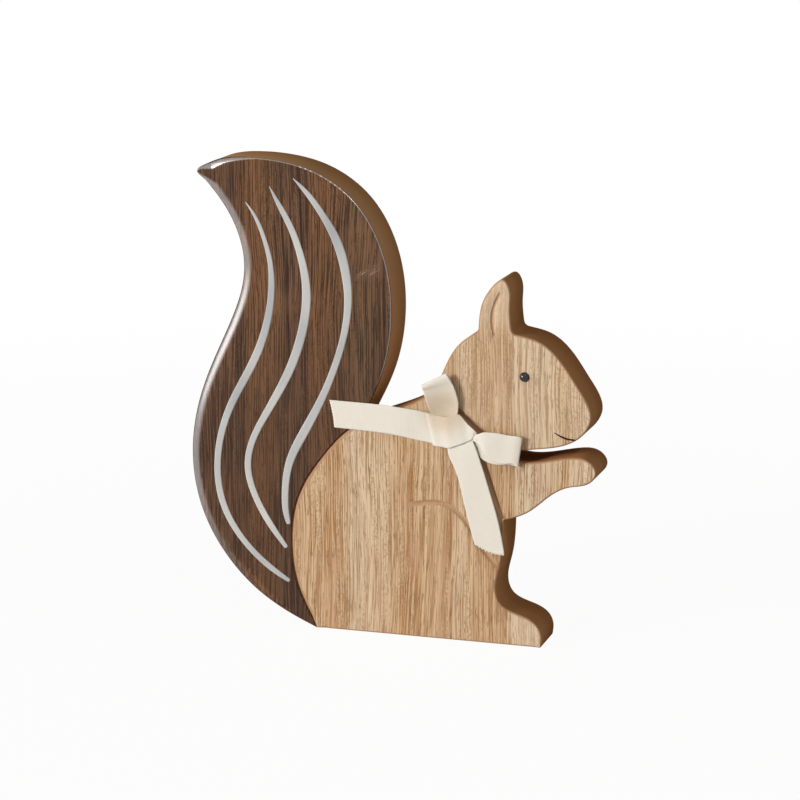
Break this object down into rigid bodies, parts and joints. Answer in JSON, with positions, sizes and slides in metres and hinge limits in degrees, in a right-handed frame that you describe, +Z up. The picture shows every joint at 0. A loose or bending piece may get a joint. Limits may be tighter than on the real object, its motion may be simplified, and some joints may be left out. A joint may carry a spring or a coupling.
{
  "type": "squirrel figurine",
  "caption": "Flat wooden squirrel ornament that stands on its foot: pale carved body, dark stained tail with painted stripes, bead eye and a ribbon bow at the neck.",
  "frame": {"origin": "middle of the flat base that it stands on, half way through the board", "axes": "+X from the tail to the nose, +Z up, and the show face with the eye and the bow looks along -Y"},
  "size_m": [0.1848, 0.0286, 0.2086],
  "materials": {
    "natural_wood": "sanded, unstained, vertical open grain",
    "stained_wood": "dark brown stain under satin lacquer",
    "dowel_wood": "plain beech dowel, hidden",
    "silver_paint": "brushed pale silver-grey paint",
    "black_paint": "thin black paint line",
    "black_bead": "polished black",
    "cream_ribbon": "fine cross-ribbed cream ribbon"
  },
  "bodies": {
    "root": {"body_board": "natural_wood", "tail_board": "stained_wood", "joint_dowels": "dowel_wood", "tail_stripe_left": "silver_paint", "tail_stripe_middle": "silver_paint", "tail_stripe_right": "silver_paint", "mouth_line": "black_paint", "eye_bead": "black_bead", "neck_ribbon": "cream_ribbon", "bow_knot": "cream_ribbon", "bow_loop_upper": "cream_ribbon", "bow_loop_right": "cream_ribbon", "bow_tail_left": "cream_ribbon", "bow_tail_right": "cream_ribbon"}
  },
  "joints": []
}
